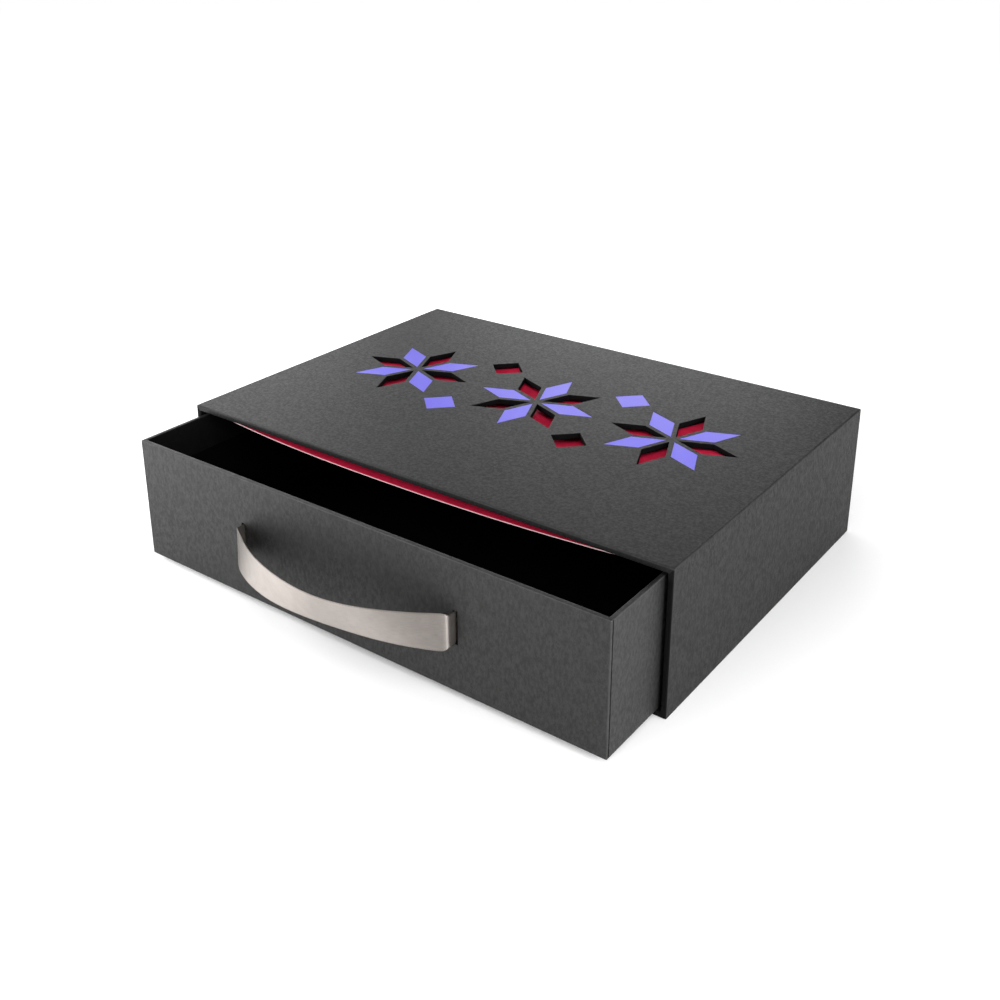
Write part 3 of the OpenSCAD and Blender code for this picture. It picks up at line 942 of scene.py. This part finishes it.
def violet_foil():
    """Matt violet foil, pressed in, so that the paper's grain comes through."""
    look = Look("foil_look", (0.13, 0.105, 0.86), 0.42, IOR=1.5,
                Specular_IOR_Level=0.35)
    grain = look.noise(0.5, detail=4)
    pits = look.steps(look.noise(0.28, detail=1), 0.74, 0.8)
    colour = look.mix(look.math("MULTIPLY", pits, 0.5), look.tone(grain, 0.88, 1.08),
                      (0.06, 0.05, 0.2))
    look.paint(colour, look.steps(grain, 0.3, 0.7, 0.36, 0.5))
    look.bump(grain, 0.02, 0.5)
    return look.material


def red_face():
    """Coated red card, with a faint cloudiness and a soft gloss."""
    look = Look("red_look", (0.85, 0.018, 0.075), 0.45, IOR=1.5)
    cloud = look.noise(3, detail=4)
    grain = look.noise(0.3, detail=2)
    look.paint(look.tone(cloud, 0.9, 1.08), look.steps(grain, 0.3, 0.7, 0.4, 0.52))
    look.bump(grain, 0.01, 0.4)
    return look.material


def red_edge():
    """The card's cut edge: its pale core, tinted by the red on both faces."""
    look = Look("red_edge_look", (0.93, 0.66, 0.7), 0.8, IOR=1.4)
    layers = look.noise(0.12, detail=3, stretch=(14, 14, 1))
    look.grained(layers, (0.8, 1.1), (0.75, 0.88), (0.03, 0.5))
    return look.material


def satin():
    """Grey-beige satin ribbon: fine warp lines along it and ribbed edges."""
    look = Look("satin_look", SATIN, 0.52, Metallic=0.85, IOR=1.5, Anisotropic=0.95)
    tangent = look.node("ShaderNodeTangent", direction_type="UV_MAP", uv_map="ribbon")
    look.tree.links.new(tangent.outputs[0], look.shader.inputs["Tangent"])
    place = look.node("ShaderNodeUVMap").outputs[0]
    parts = look.node("ShaderNodeSeparateXYZ", {0: place}).outputs
    across = look.math("MULTIPLY", parts[0], RIBBON_W)
    along = look.math("MULTIPLY", parts[1], RIBBON_W)
    thread = look.node("ShaderNodeCombineXYZ", {0: look.math("MULTIPLY", across, 8.0),
                                                1: look.math("MULTIPLY", along, 0.35)})
    warp = look.node("ShaderNodeTexNoise", {"Vector": thread.outputs[0], "Scale": 1.0,
                                            "Detail": 3}).outputs["Fac"]
    patch = look.noise(4, detail=3)
    field = look.math("ADD", look.math("MULTIPLY", warp, 0.65),
                      look.math("MULTIPLY", patch, 0.35))
    edge = look.math("ABSOLUTE", look.math("SUBTRACT", across, RIBBON_W / 2))
    selvedge = look.steps(edge, RIBBON_W / 2 - RIB_BAND, RIBBON_W / 2 - 0.5 * RIB_BAND)
    ribs = look.math("COSINE", look.math("MULTIPLY", along, 2 * math.pi / RIB_PITCH))
    # Darker between the edge's ribs: painted shade
    gap_shade = look.math("MULTIPLY", look.steps(ribs, 0.1, -0.9), selvedge)
    look.paint(look.mix(gap_shade, look.tone(field, 0.88, 1.1), SATIN_GAP_SHADE),
               look.steps(warp, 0.3, 0.7, 0.49, 0.56))
    look.bump(field, 0.01, 0.4)
    return look.material


# ---------- floor, lights ----------

# Glow of the floor far from the box, as under a large white tent, and the distances in
# metres from the box's middle where it begins and is full
FAR_GLOW = 0.95
GLOW_FROM, GLOW_TO = 0.05, 0.4
# Floor: its half width, and its mesh's steps
FLOOR_HALF = 8000
FLOOR_STEPS = 8


def floor_paper():
    """Plain pale paper that glows towards the distance."""
    look = Look("floor", (0.9, 0.9, 0.9), 0.9, IOR=1.3)
    look.paint(look.tone(look.noise(400, detail=2), 0.985, 1.0))
    away = look.node("ShaderNodeVectorMath", {0: look.place}, operation="LENGTH")
    glow = look.steps(away.outputs["Value"], GLOW_FROM, GLOW_TO, 0, FAR_GLOW)
    look.shader.inputs["Emission Color"].default_value = (1, 1, 1, 1)
    look.tree.links.new(glow, look.shader.inputs["Emission Strength"])
    return look.material


def add_floor():
    marks = [FLOOR_HALF * (2 * i / FLOOR_STEPS - 1) for i in range(FLOOR_STEPS + 1)]
    bm = bmesh.new()
    grid = [[bm.verts.new((x, y, 0)) for x in marks] for y in marks]
    for row, following in zip(grid, grid[1:]):
        for i in range(FLOOR_STEPS):
            bm.faces.new((row[i], row[i + 1], following[i + 1], following[i]))
    floor = make_object("floor", bm)
    if floor.data.polygons[0].normal.z < 0:
        floor.data.flip_normals()
    floor.data.materials.append(floor_paper())


# Soft lights: azimuth from the right side and height in degrees, distance and size in
# metres, power in watts
LIGHTS = (("above", 0, 88, 1.2, 0.8, 1.1),
          ("over_front_right", 315, 50, 1.2, 0.8, 5.2),
          ("front_left", 225, 18, 0.42, 0.3, 1.42),
          ("front_a", 261, 10, 0.4, 0.14, 0.22),
          ("front_b", 271, 10, 0.4, 0.14, 0.2),
          ("front_right", 335, 10, 0.4, 0.14, 0.52),
          ("right", 0, 15, 0.42, 0.3, 1.0),
          ("back_left_a", 155, 12, 0.7, 0.4, 2.6),
          ("back_left_b", 115, 12, 0.7, 0.4, 2.2))
# Where the lights look, and the faint light from all round
AIM = Vector((0, 0, 30)) * MM
FILL = 0.05


def add_lights():
    """The soft lights, and a world that lights faintly."""
    for name, azimuth, height, distance, size, power in LIGHTS:
        data = bpy.data.lights.new(name, "AREA")
        data.shape = "SQUARE"
        data.size = size
        data.energy = power
        light = bpy.data.objects.new(name, data)
        turn, rise = math.radians(azimuth), math.radians(height)
        light.location = AIM + distance * Vector((math.cos(rise) * math.cos(turn),
                                                  math.cos(rise) * math.sin(turn),
                                                  math.sin(rise)))
        ahead = AIM - light.location
        light.rotation_euler = ahead.to_track_quat("-Z", "Y").to_euler()
        light.visible_camera = False
        bpy.context.collection.objects.link(light)
    world = bpy.data.worlds.new("studio")
    world.use_nodes = True
    background = world.node_tree.nodes["Background"]
    background.inputs["Color"].default_value = (1, 1, 1, 1)
    # To the camera the backdrop is white, and it lights the box only faintly
    ray = world.node_tree.nodes.new("ShaderNodeLightPath")
    strength = world.node_tree.nodes.new("ShaderNodeMapRange")
    strength.inputs["To Min"].default_value = FILL
    world.node_tree.links.new(ray.outputs["Is Camera Ray"], strength.inputs["Value"])
    world.node_tree.links.new(strength.outputs["Result"], background.inputs["Strength"])
    bpy.context.scene.world = world
    bpy.context.scene.view_settings.view_transform = "Standard"


# ---------- the scene ----------

add_floor()
add_lights()

satin_look = satin()
shaded_inner_look = shaded_inner_paper()
sleeve_paper(cover_paper("sleeve_cover_look", SLEEVE_COVER_SHADED, SLEEVE_GLOSS_SHADED,
                         sleeve_low, sleeve_high), shaded_inner_look)
foil_pieces(violet_foil())
red_card(red_face(), red_edge())
drawer_paper(cover_paper("drawer_cover_look", DRAWER_COVER, DRAWER_GLOSS,
                         tray_low, tray_high), seam_shade_paint(), shaded_inner_look)
lining_look = lining_paper()
drawer_lining(lining_look)
ribbon_ends(satin_look)
ribbon_loop(satin_look)

NODE_LOOKS = (
    (black_board(), ("sleeve_top_board", "sleeve_bottom_board", "sleeve_left_board",
                     "sleeve_right_board", "sleeve_back_board", "drawer_front_board",
                     "drawer_back_board", "drawer_left_board", "drawer_right_board",
                     "drawer_bottom_board")),
    (gummed_tape(), ("sleeve_corner_stays", "drawer_corner_stays")),
    (base_paper(), ("sleeve_base_sheet",)),
    (lining_look, ("sleeve_liner", "ribbon_tail_patches")),
    (paper_tape(), ("card_tape_strips",)),
)
for look_material, names in NODE_LOOKS:
    for name in names:
        node_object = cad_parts[name]
        for material_slot in node_object.material_slots:
            material_slot.material = look_material
